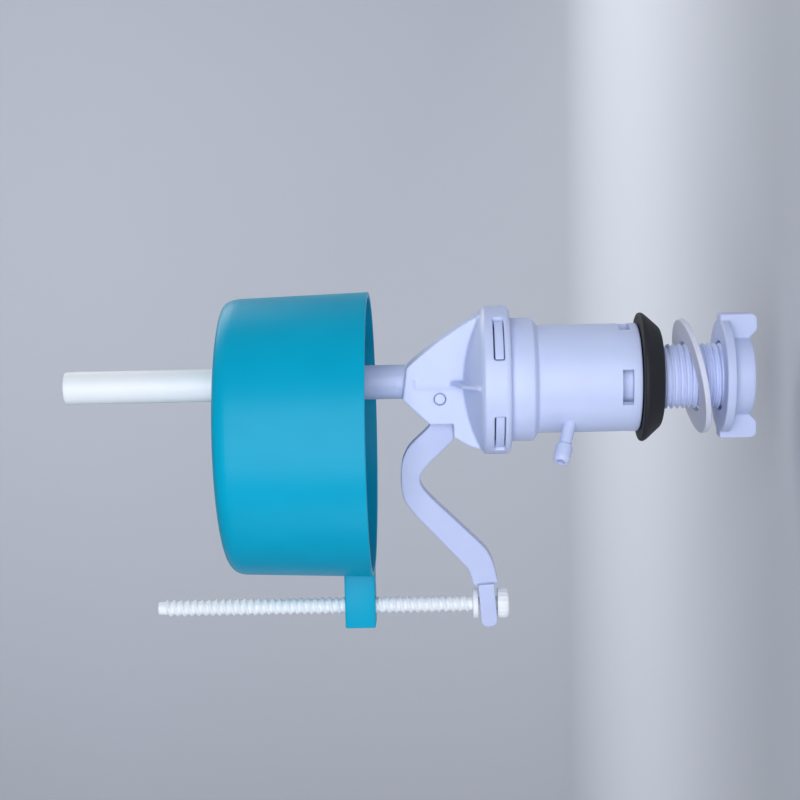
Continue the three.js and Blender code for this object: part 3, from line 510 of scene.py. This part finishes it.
path = spaced(rounded(cup_profile[:, :3], cup_profile[:, 3], steps=9), 1.6)
angle = np.arange(256) * 2 * math.pi / 256
centre, radius, height = path[:, :1], path[:, 1:2], path[:, 2:3]
points = np.stack(
    [centre + radius * np.cos(angle), radius * np.sin(angle), height + 0 * angle], axis=-1
).reshape(-1, 3)
float_cup = mesh_piece("float_cup_smooth", points, grid_faces(len(path), 256, True))

BRACKET_START, BRACKET_END, BRACKET_HALF, BRACKET_TOP = 61.2, 79.4, 5.0, 101.7
bracket = plate(
    "bracket",
    [
        (BRACKET_START, FLOAT_BOTTOM),
        (BRACKET_END, FLOAT_BOTTOM),
        (BRACKET_END, BRACKET_TOP),
        (BRACKET_START, BRACKET_TOP),
    ],
    2 * BRACKET_HALF,
    bevel=0.5,
)
hole = put(turned("hole", [(0, 80), (3.05, 80), (3.05, 150), (0, 150)], 48, closed=False), move(ROD_X, 0, 0))
combine(bracket, [hole], "DIFFERENCE")
combine(float_cup, [bracket], "UNION")
finish_piece(float_cup, "float", "teal_plastic", teal_polypropylene, "float_cup")

# %% [markdown]
# ## Adjusting rod
#
# Turning this rod sets the water level. It is one skin from the knob to the tip, closed at both ends on its
# axis. Its thread is coarse: the radius rises and falls with the height and the angle together, so that one
# turn climbs by one pitch, and a power of the wave gives narrow crests and wide roots. The same idea, with
# the angle alone, gives the grip on the knob.

# %% Adjusting rod
ROD_CREST, ROD_ROOT, ROD_PITCH = 2.75, 2.15, 2.3
ROD_TOP, KNOB_BOTTOM, KNOB_TOP = 162.8, 48.7, 52.5
COLLAR_BOTTOM, COLLAR_TOP, KNOB_RADIUS, ROD_NECK = 58.7, 60.5, 4.9, 2.1


def screw_wave(height, angle, pitch, narrow):
    """0 to 1 and back once in each pitch, where a turn climbs one pitch: a raised cosine to the power of
    narrow, so a larger power gives a narrower crest."""
    phase = height / pitch - angle / (2 * math.pi)
    return np.clip(0.5 + 0.5 * np.cos(2 * math.pi * phase), 0, 1) ** narrow


def between(height, low, high, ease=0.5):
    """1 between low and high, and 0 outside, with a soft start and end."""
    return np.clip((height - low) / ease + 0.5, 0, 1) * np.clip((high - height) / ease + 0.5, 0, 1)


def rod_shape(radius, height, angle):
    thread = (ROD_CREST - ROD_ROOT) * screw_wave(height, angle, ROD_PITCH, 1.7)
    grip = -0.22 * (0.5 + 0.5 * np.cos(18 * angle)) * (radius > 4)
    return thread * between(height, COLLAR_TOP + 1, ROD_TOP - 2.5) + grip * between(height, 48.9, 52.3, 0.4)


rod_corners = rounded(
    [
        (0, KNOB_BOTTOM),
        (KNOB_RADIUS, KNOB_BOTTOM),
        (KNOB_RADIUS, KNOB_TOP),
        (ROD_NECK, KNOB_TOP),
        (ROD_NECK, COLLAR_BOTTOM),
        (KNOB_RADIUS, COLLAR_BOTTOM),
        (KNOB_RADIUS, COLLAR_TOP),
        (ROD_ROOT, COLLAR_TOP),
        (ROD_ROOT, ROD_TOP),
        (0, ROD_TOP),
    ],
    [0.1, 1.6, 0.5, 0.4, 0.4, 0.5, 0.4, 0.3, 0.5, 0.1],
    closed=False,
)
rod_corners[:5] = np.linspace(rod_corners[0], rod_corners[4], 5)
rod_path = spaced(rod_corners, ROD_PITCH / 18, closed=False)
adjusting_rod = turned("adjusting_rod_smooth", rod_path, 72, closed=False, radius_change=rod_shape)
put(adjusting_rod, move(ROD_X, 0, 0))
finish_piece(adjusting_rod, "adjuster", "cream_plastic", natural_polypropylene, "adjusting_rod")

# %% [markdown]
# ## Threaded shank and riser
#
# The shank carries a half-inch pipe thread. It is one closed profile: up the outside over the thread, the
# foot disc and the riser, and down through the narrow and the wide bore. The thread is the same screw wave
# as on the rod, with rounder crests, and it fades out at both ends as a cut thread does.

# %% Threaded shank
SHANK_CREST, SHANK_DEPTH, SHANK_PITCH, SHANK_BOTTOM = 10.48, 1.16, 1.814, -27.0
SHANK_BORE, RISER_BORE, BORE_STEP = 7.5, 4.0, -6.0
FOOT_BOTTOM, FOOT_TOP, FOOT_RADIUS = 7.2, 9.7, 14.85
SPREADER_RADIUS, SPREADER_SHOULDER, SPREADER_TOP = 12.4, 13.4, 19.0
RISER_RADIUS, RISER_TOP = 6.5, 49.7
SHANK_ROOT = SHANK_CREST - SHANK_DEPTH


def shank_shape(radius, height, angle):
    cut = 0.85 * SHANK_DEPTH * screw_wave(height, angle, SHANK_PITCH, 1.0)
    return cut * between(height, SHANK_BOTTOM + 0.7, -1.2, 1.2) * (radius > SHANK_BORE + 0.5)


shank_profile = rounded(
    [
        (SHANK_BORE, SHANK_BOTTOM),
        (SHANK_ROOT, SHANK_BOTTOM),
        (SHANK_ROOT, FOOT_BOTTOM),
        (FOOT_RADIUS, FOOT_BOTTOM),
        (FOOT_RADIUS, FOOT_TOP),
        (SPREADER_RADIUS, FOOT_TOP),
        (SPREADER_RADIUS, SPREADER_SHOULDER),
        (RISER_RADIUS, SPREADER_TOP),
        (RISER_RADIUS, RISER_TOP),
        (RISER_BORE, RISER_TOP),
        (RISER_BORE, BORE_STEP),
        (SHANK_BORE, BORE_STEP),
    ],
    0.35,
)
thread_rows = spaced(shank_profile, SHANK_PITCH / 16)
coarse = (thread_rows[:, 0] > SHANK_BORE + 0.5) & (thread_rows[:, 1] < 0)
keep = coarse | (np.arange(len(thread_rows)) % 6 == 0)
inlet_shank = turned("inlet_shank_smooth", thread_rows[keep], 128, radius_change=shank_shape)
finish_piece(inlet_shank, "housing", "white_plastic", white_acetal, "inlet_shank")

# %% [markdown]
# ## Rubber gasket
#
# The gasket seals the hole in the cistern's floor. It is a soft cone with a thick round rim. A rubber ring
# has no sharp corner, so its profile is rounded more than the plastic's.

# %% Gasket
GASKET_BORE, GASKET_FOOT, GASKET_RADIUS, GASKET_HEIGHT, GASKET_RIM = 10.78, 15.5, 20.5, 6.9, 1.8
gasket_profile = rounded(
    [
        (GASKET_BORE, 0),
        (GASKET_FOOT, 0),
        (GASKET_RADIUS - 0.4, GASKET_HEIGHT - GASKET_RIM),
        (GASKET_RADIUS, GASKET_HEIGHT - GASKET_RIM / 2),
        (GASKET_RADIUS - 0.3, GASKET_HEIGHT),
        (GASKET_BORE, GASKET_HEIGHT),
    ],
    [0.4, 1.2, 0.8, 0.5, 0.5, 0.4],
)
tank_gasket = turned("tank_gasket_smooth", spaced(gasket_profile, 0.8), 192)
finish_piece(tank_gasket, "housing", "black_rubber", black_nitrile, "tank_gasket")

# %% [markdown]
# ## Sleeve, collar and hose spigot
#
# The sleeve and its wider collar are one round profile. Four windows near its foot let the water out, and
# four lugs round the collar hold the cap by its bayonet slots. Windows and lugs are sectors of a ring: an
# arc out and an arc back, carried up. The barbed spigot is a small round piece of its own, turned to its
# direction. Booleans join and cut these, because here every face should stay as true as it is.

# %% Sleeve
SLEEVE_RADIUS, SLEEVE_BORE, SLEEVE_BOTTOM = 17.15, 15.15, 7.2
COLLAR_RADIUS, COLLAR_BORE, COLLAR_FOOT, COLLAR_TOP_Z = 19.6, 17.2, 39.0, 52.8
WINDOW_BOTTOM, WINDOW_TOP, WINDOW_SPAN, WINDOW_TURN = 10.0, 13.4, 38, 86
GUSSET_ANGLES, SLOT_OFFSET, SLOT_BOTTOM, SLOT_TOP_Z = (90, 270), 42, 49.7, 53.1
BAYONETS = [g + s * SLOT_OFFSET for g in GUSSET_ANGLES for s in (-1, 1)]


def sector(name, inner, outer, middle, span, bottom, top, bevel=0.0):
    """A block bent round the axis: an arc of the outer radius, an arc back at the inner one, carried from
    bottom to top. Angles are in degrees."""
    arc = np.radians(np.linspace(middle - span / 2, middle + span / 2, 25))
    ring = np.concatenate(
        [
            np.stack([outer * np.cos(arc), outer * np.sin(arc)], 1),
            np.stack([inner * np.cos(arc[::-1]), inner * np.sin(arc[::-1])], 1),
        ]
    )
    made = plate(name, ring, top - bottom, bevel)
    return put(made, move(0, 0, (bottom + top) / 2) @ spin(-90, "X"))


NOZZLE_HEIGHT, NOZZLE_TURN, NOZZLE_RISE = 24.8, 40, 15


def nozzle(name, profile, sides=40):
    """A round piece whose axis leaves the valve's axis 40 degrees round from the lever and 15 degrees up."""
    made = turned(name, profile, sides, closed=False)
    return put(made, move(0, 0, NOZZLE_HEIGHT) @ spin(NOZZLE_TURN, "Z") @ spin(90 - NOZZLE_RISE, "Y"))


sleeve_profile = rounded(
    [
        (SLEEVE_BORE, SLEEVE_BOTTOM),
        (SLEEVE_RADIUS, SLEEVE_BOTTOM),
        (SLEEVE_RADIUS, COLLAR_FOOT),
        (COLLAR_RADIUS, COLLAR_FOOT + 1.4),
        (COLLAR_RADIUS, COLLAR_TOP_Z),
        (COLLAR_BORE, COLLAR_TOP_Z),
        (COLLAR_BORE, COLLAR_FOOT + 2.4),
        (SLEEVE_BORE, COLLAR_FOOT),
    ],
    [0.3, 0.8, 0.5, 0.7, 0.4, 0.3, 0.5, 0.5],
)
valve_body = turned("valve_body_smooth", spaced(sleeve_profile, 4), 192)
START, REACH = 16.2, 31.68  # along the spigot, from the valve's axis
SPIGOT_RADIUS, BARB_RADIUS, MOUTH_RADIUS, SPIGOT_BORE, BARB_LENGTH = 1.95, 2.65, 2.2, 1.3, 6.3
spigot = nozzle(
    "spigot",
    rounded(
        [
            (0, START),
            (SPIGOT_RADIUS, START),
            (SPIGOT_RADIUS, REACH - BARB_LENGTH),
            (BARB_RADIUS, REACH - BARB_LENGTH + 0.7),
            (BARB_RADIUS, REACH - 1.4),
            (MOUTH_RADIUS, REACH),
            (0, REACH),
        ],
        0.3,
        closed=False,
    ),
)
bore = nozzle(
    "bore", [(0, START - 4), (SPIGOT_BORE, START - 4), (SPIGOT_BORE, REACH + 1), (0, REACH + 1)]
)
across_wall = (SLEEVE_BORE - 2, SLEEVE_RADIUS + 2)
window_angles = [WINDOW_TURN + 90 * k for k in range(4)]
windows = [sector("window", *across_wall, a, WINDOW_SPAN, WINDOW_BOTTOM, WINDOW_TOP) for a in window_angles]
LUG_RADIUS, LUG_SPAN = 22.6, 37.5
lug_bottom, lug_top = SLOT_BOTTOM + 0.3, SLOT_TOP_Z - 0.45
lugs = [
    sector("lug", COLLAR_RADIUS - 1, LUG_RADIUS, angle, LUG_SPAN, lug_bottom, lug_top, 0.25)
    for angle in BAYONETS
]
combine(valve_body, windows, "DIFFERENCE")
combine(valve_body, [spigot] + lugs, "UNION")
combine(valve_body, [bore], "DIFFERENCE")
finish_piece(valve_body, "housing", "white_plastic", white_acetal, "valve_body")

# %% A box
def block(name, x, y, z):
    """A box from three (low, high) pairs."""
    made = plate(name, [(x[0], z[0]), (x[1], z[0]), (x[1], z[1]), (x[0], z[1])], y[1] - y[0])
    return put(made, move(0, (y[0] + y[1]) / 2, 0))


# %% [markdown]
# ## Cap
#
# The cap is the most shaped moulding: a ring and a low dome over the diaphragm, two tall cheeks that carry
# the lever, a neck that the float slides on, and a thin gusset on each side. Each of these is a simple
# solid. They are joined, the lever's slot, the pin's hole, the vent and the bayonet slots are cut, and then
# a voxel remesh lays one even skin over all of it. A few passes of smoothing on that skin round every
# corner inside and out by about a third of a millimetre, which is what a mould does too.

# %% Cap
RING_RADIUS, RING_BOTTOM, RING_TOP, RING_CHAMFER, RING_EASE = 23.6, 47.6, 56.4, 1.3, 0.7
DOME_RADIUS, DOME_FOOT, DOME_TOP = 22.3, 56.9, 62.8
CAP_SEAT, CHAMBER_RADIUS, CHAMBER_TOP = 55.0, 14.0, 58.3
RING_BORE = 19.9
CHEEK_BASE, CHEEK_FOOT, CHEEK_TOE = 56, 21.3, 57.2  # inside the dome, at its edge, and their height there
CHEEK_SHELF, CHEEK_SHELF_REACH, CHEEK_FRONT, CHEEK_SHOULDER = 65.6, 17.0, 13.0, 73.2
VENT_RADIUS, VENT_LIP_RADIUS, VENT_TOP, SOCKET_RADIUS = 0.7, 1.8, 63.6, 3.7
PIVOT_X, PIVOT_Z, PIN_HOLE = 5.0, 69.8, 1.9
CHEEKS, LEVER_SLOT, SLOT_CEILING = 14.0, 7.0, 75.5
NECK_RADIUS, NECK_FOOT, NECK_TOP, SPINE_RADIUS, SPINE_TOP = 5.45, 80.2, 112.0, 7.35, 77.5
NECK_FOOT_FRONT = 81.6  # the cheeks run higher on the lever's side
dome_r = np.linspace(DOME_RADIUS, 0, 24)
dome = np.stack([dome_r, DOME_TOP - (DOME_TOP - DOME_FOOT) * (dome_r / DOME_RADIUS) ** 2], 1)
shell = turned(
    "cap_smooth",
    [
        (0, CAP_SEAT),
        (RING_BORE, CAP_SEAT),
        (RING_BORE, RING_BOTTOM),
        (RING_RADIUS - RING_CHAMFER, RING_BOTTOM),
        (RING_RADIUS - 0.3 * RING_CHAMFER, RING_BOTTOM + 0.3 * RING_CHAMFER),
        (RING_RADIUS, RING_BOTTOM + RING_CHAMFER),
        (RING_RADIUS, RING_TOP - RING_EASE),
        (RING_RADIUS - RING_EASE, RING_TOP),
    ]
    + dome.tolist(),
    256,
    closed=False,
)
t = np.linspace(0, 1, 24)[:, None]
CHEEK_TOP, CHEEK_BACK = 5.05, 14.5  # half their width at the neck, and the reach of the back's curve
back = (1 - t) ** 2 * [-CHEEK_TOP, NECK_FOOT] + 2 * t * (1 - t) * [-CHEEK_BACK, PIVOT_Z]
back = back + t**2 * [-CHEEK_FOOT, CHEEK_TOE]
toe_bulge = [20.3, (CHEEK_TOE + CHEEK_SHELF) / 2]
toe = (1 - t) ** 2 * [CHEEK_FOOT, CHEEK_TOE] + 2 * t * (1 - t) * toe_bulge
toe = toe + t**2 * [CHEEK_SHELF_REACH, CHEEK_SHELF]
cheek_outline = [(-CHEEK_FOOT, CHEEK_BASE), (CHEEK_FOOT, CHEEK_BASE)] + toe.tolist()
cheek_outline += [(CHEEK_FRONT, CHEEK_SHELF), (CHEEK_FRONT, CHEEK_SHOULDER)]
cheek_outline += [(CHEEK_TOP, NECK_FOOT_FRONT), (-CHEEK_TOP, NECK_FOOT)]
cheek_outline += back[1:-1].tolist()
cheeks = plate("cheeks", cheek_outline, CHEEKS)
spine = turned(
    "spine",
    [
        (0, CHEEK_BASE),
        (SPINE_RADIUS, CHEEK_BASE),
        (SPINE_RADIUS, SPINE_TOP),
        (NECK_RADIUS, NECK_FOOT),
        (NECK_RADIUS, NECK_TOP),
        (0, NECK_TOP),
    ],
    128,
    closed=False,
)
lip_profile = [(0, 61), (VENT_LIP_RADIUS, 61), (VENT_LIP_RADIUS, VENT_TOP), (0, VENT_TOP)]
lip = turned("lip", lip_profile, 48, closed=False)
gusset_outline = [(6, 56.9), (22, 56.4), (22, 57.8), (17, 63), (8.5, 66), (6, 67)]
gussets = [put(plate("gusset", gusset_outline, 1.3), spin(a, "Z")) for a in GUSSET_ANGLES]


def cross_pin(name, radius, length, round_end=0.0):
    """A round bar through the lever's pivot, along y."""
    profile = [(0, -length / 2), (radius, -length / 2), (radius, length / 2), (0, length / 2)]
    if round_end:
        profile = rounded(profile, round_end, closed=False)
    return put(turned(name, profile, 48, closed=False), move(PIVOT_X, 0, PIVOT_Z) @ spin(90, "X"))


# The lever's slot is cut before the dome is joined, so that it goes down to the dome and its vent.
half = LEVER_SLOT / 2
combine(cheeks, [spine], "UNION")
combine(cheeks, [block("slot", (-4.5, 30), (-half, half), (CAP_SEAT, SLOT_CEILING))], "DIFFERENCE")
combine(shell, [cheeks, lip] + gussets, "UNION")
chamber_profile = [(0, 50), (CHAMBER_RADIUS, 50), (CHAMBER_RADIUS, CHAMBER_TOP), (0, CHAMBER_TOP)]
cuts = [
    cross_pin("pin_hole", PIN_HOLE, CHEEKS + 4),
    turned("chamber", chamber_profile, 128, closed=False),
    turned("vent", [(0, 57), (VENT_RADIUS, 57), (VENT_RADIUS, 65), (0, 65)], 32, closed=False),
    turned("socket", [(0, 96), (SOCKET_RADIUS, 96), (SOCKET_RADIUS, 114), (0, 114)], 64, closed=False),
]
cuts += [sector("bayonet", COLLAR_RADIUS + 0.05, 26, a, 40, SLOT_BOTTOM, SLOT_TOP_Z) for a in BAYONETS]
combine(shell, cuts, "DIFFERENCE")
print("cap before its skin:", len(shell.data.polygons), "faces")
CAP_VOXEL = 0.36
soften(shell, CAP_VOXEL, 4)
finish_piece(shell, "housing", "white_plastic", white_acetal, "cap")

lever_pin = cross_pin("lever_pin_smooth", PIN_HOLE - 0.15, 13.2, 0.5)
finish_piece(lever_pin, "housing", "grey_plastic", white_acetal, "lever_pin")

# %% [markdown]
# ## Lever
#
# The lever climbs out of the cap, turns over a round elbow and runs down to a fork that holds the rod by
# its neck. Its outline is drawn with points and two curved stretches, carried across its thickness, and its
# long edges are rounded by a bevel. The fork and the foot that carries the vent's seal are joined on, and a
# fine skin is laid over them as on the cap.

# %% Lever
LEVER_THICKNESS, HUB_RADIUS, SWING = 6.0, 3.5, 8.33
FORK_X, FORK_Z, FORK_WIDTH, FORK_SLOT, FORK_HALF, FORK_TILT = 73.0, 55.6, 9.2, 4.8, 2.6, 4
arm_corners = np.array(
    [
        (5, 73.3, 1),
        (13.8, 72.8, 2),
        (20.6, 80.2, 2),
        (26.0, 82.8, 5),
        (36.6, 82.8, 6),
        (41.6, 79.6, 3),
        (61, 61.6, 1.5),
        (66.4, 60.1, 0.3),
        (65.5, 52.2, 0.3),
        (59, 53.6, 1.5),
        (54.6, 55.6, 2.5),
        (35.5, 75, 4),
        (31.4, 77.2, 4),
        (27.6, 75.2, 3),
        (18.6, 65.6, 1),
        (5, 66.3, 1),
    ]
)
arm_outline = rounded(arm_corners[:, :2], arm_corners[:, 2], steps=6)
arm = plate("lever_arm_smooth", arm_outline, LEVER_THICKNESS, bevel=0.7)
hub = cross_pin("hub", HUB_RADIUS, LEVER_THICKNESS, 0.4)
FORK_ROOT, FORK_TIP = -7.4, 6.7  # along the fork, from the rod's axis
fork_corners = [(FORK_ROOT, -FORK_HALF), (FORK_TIP, -FORK_HALF), (FORK_TIP, FORK_HALF), (FORK_ROOT, FORK_HALF)]
fork = plate("fork", rounded(fork_corners, [0.1, 2.3, 2.3, 0.1], 8), FORK_WIDTH, bevel=0.35)
fork_slot = block("fork_slot", (-4, 20), (-FORK_SLOT / 2, FORK_SLOT / 2), (-10, 10))
combine(fork, [fork_slot], "DIFFERENCE")
put(fork, move(FORK_X, 0, FORK_Z) @ spin(FORK_TILT, "Y"))
about_pivot = move(PIVOT_X, 0, PIVOT_Z) @ spin(SWING, "Y") @ move(-PIVOT_X, 0, -PIVOT_Z)
pad_arm = put(block("pad_arm", (-2.8, 5), (-3, 3), (66.7, 72.0)), about_pivot)
pad_foot = put(block("pad_foot", (-2.4, 2.4), (-3, 3), (65.7, 67.7)), about_pivot)
combine(arm, [hub, fork, pad_arm, pad_foot], "UNION")
combine(arm, [cross_pin("pin_hole", PIN_HOLE, LEVER_THICKNESS + 2)], "DIFFERENCE")
LEVER_VOXEL = 0.24
soften(arm, LEVER_VOXEL, 5)
# The lever gets the sleeve's acetal painted a tone darker, as painted shade.
finish_piece(arm, "lever", "white_plastic", lever_acetal_painted_shade, "lever_arm")

# %% [markdown]
# ## Clamp washer and wing nut
#
# The washer is loose and hangs askew on the thread, so its profile is turned and then tilted. The nut is a
# flange, a body and two wings that a hand can grip. Its wings are joined to the turned part, and a skin
# rounds the corners between them.

# %% Washer and nut
WASHER_BORE, WASHER_RADIUS, WASHER_HALF = 11.28, 18.4, 0.9
WASHER_HEIGHT, WASHER_TILT, WASHER_LEAN = -10.1, 10.3, 4.8
washer_profile = rounded(
    [
        (WASHER_BORE, -WASHER_HALF),
        (WASHER_RADIUS, -WASHER_HALF),
        (WASHER_RADIUS, WASHER_HALF),
        (WASHER_BORE, WASHER_HALF),
    ],
    0.35,
)
clamp_washer = turned("clamp_washer_smooth", spaced(washer_profile, 1.5), 160)
put(clamp_washer, move(0, 0, WASHER_HEIGHT) @ spin(WASHER_TILT, "Y") @ spin(-WASHER_LEAN, "X"))
finish_piece(clamp_washer, "washer", "white_plastic", washer_plastic, "clamp_washer")

NUT_TOP, FLANGE_RADIUS, FLANGE_BOTTOM, NUT_BODY, NUT_BOTTOM, NUT_BORE = -18.6, 17.9, -21.5, 12.6, -28.4, 10.98
WING_ROOT, WING_REACH, WING_BOTTOM, WING_WIDTH, WING_CUT = 11.7, 19.7, -30.2, 7.0, 2.8
nut_profile = rounded(
    [
        (NUT_BORE, NUT_BOTTOM),
        (NUT_BODY, NUT_BOTTOM),
        (NUT_BODY, FLANGE_BOTTOM),
        (FLANGE_RADIUS, FLANGE_BOTTOM),
        (FLANGE_RADIUS, NUT_TOP),
        (NUT_BORE, NUT_TOP),
    ],
    [0.2, 1.8, 0.5, 0.5, 0.4, 0.3],
)
wing_nut = turned("wing_nut_smooth", nut_profile, 160)
wing_outline = rounded(
    [
        (WING_ROOT, NUT_TOP),
        (WING_ROOT, WING_BOTTOM + WING_CUT),
        (WING_ROOT + WING_CUT, WING_BOTTOM),
        (WING_REACH, WING_BOTTOM),
        (WING_REACH, NUT_TOP),
    ],
    [0.1, 0.8, 0.8, 2.4, 0.3],
    8,
)
wings = [put(plate("wing", wing_outline, WING_WIDTH, bevel=0.8), spin(a, "Z")) for a in (0, 180)]
combine(wing_nut, wings, "UNION")
NUT_VOXEL = 0.3
soften(wing_nut, NUT_VOXEL, 3)
finish_piece(wing_nut, "nut", "white_plastic", greyed_acetal, "wing_nut")

# %% [markdown]
# ## Small parts inside
#
# The diaphragm, its poppet and seat, the drilled ring and the strainer keep their CAD shapes, which are
# right already, and get a real finish each.

# %% Inner parts
INNER = {
    "inlet_strainer": grey_acetal,
    "flow_restrictor": grey_acetal,
    "silencer_ring": grey_acetal,
    "bleed_pin": grey_acetal,
    "seat_insert": natural_polypropylene,
    "poppet": natural_polypropylene,
    "seat_ring": black_nitrile,
    "diaphragm": black_nitrile,
    "poppet_seal": black_nitrile,
    "vent_seal": black_nitrile,
}
for name, material in INNER.items():
    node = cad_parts[name]
    for place in node.material_slots:
        place.material = material
print(len(INNER), "inner parts finished")
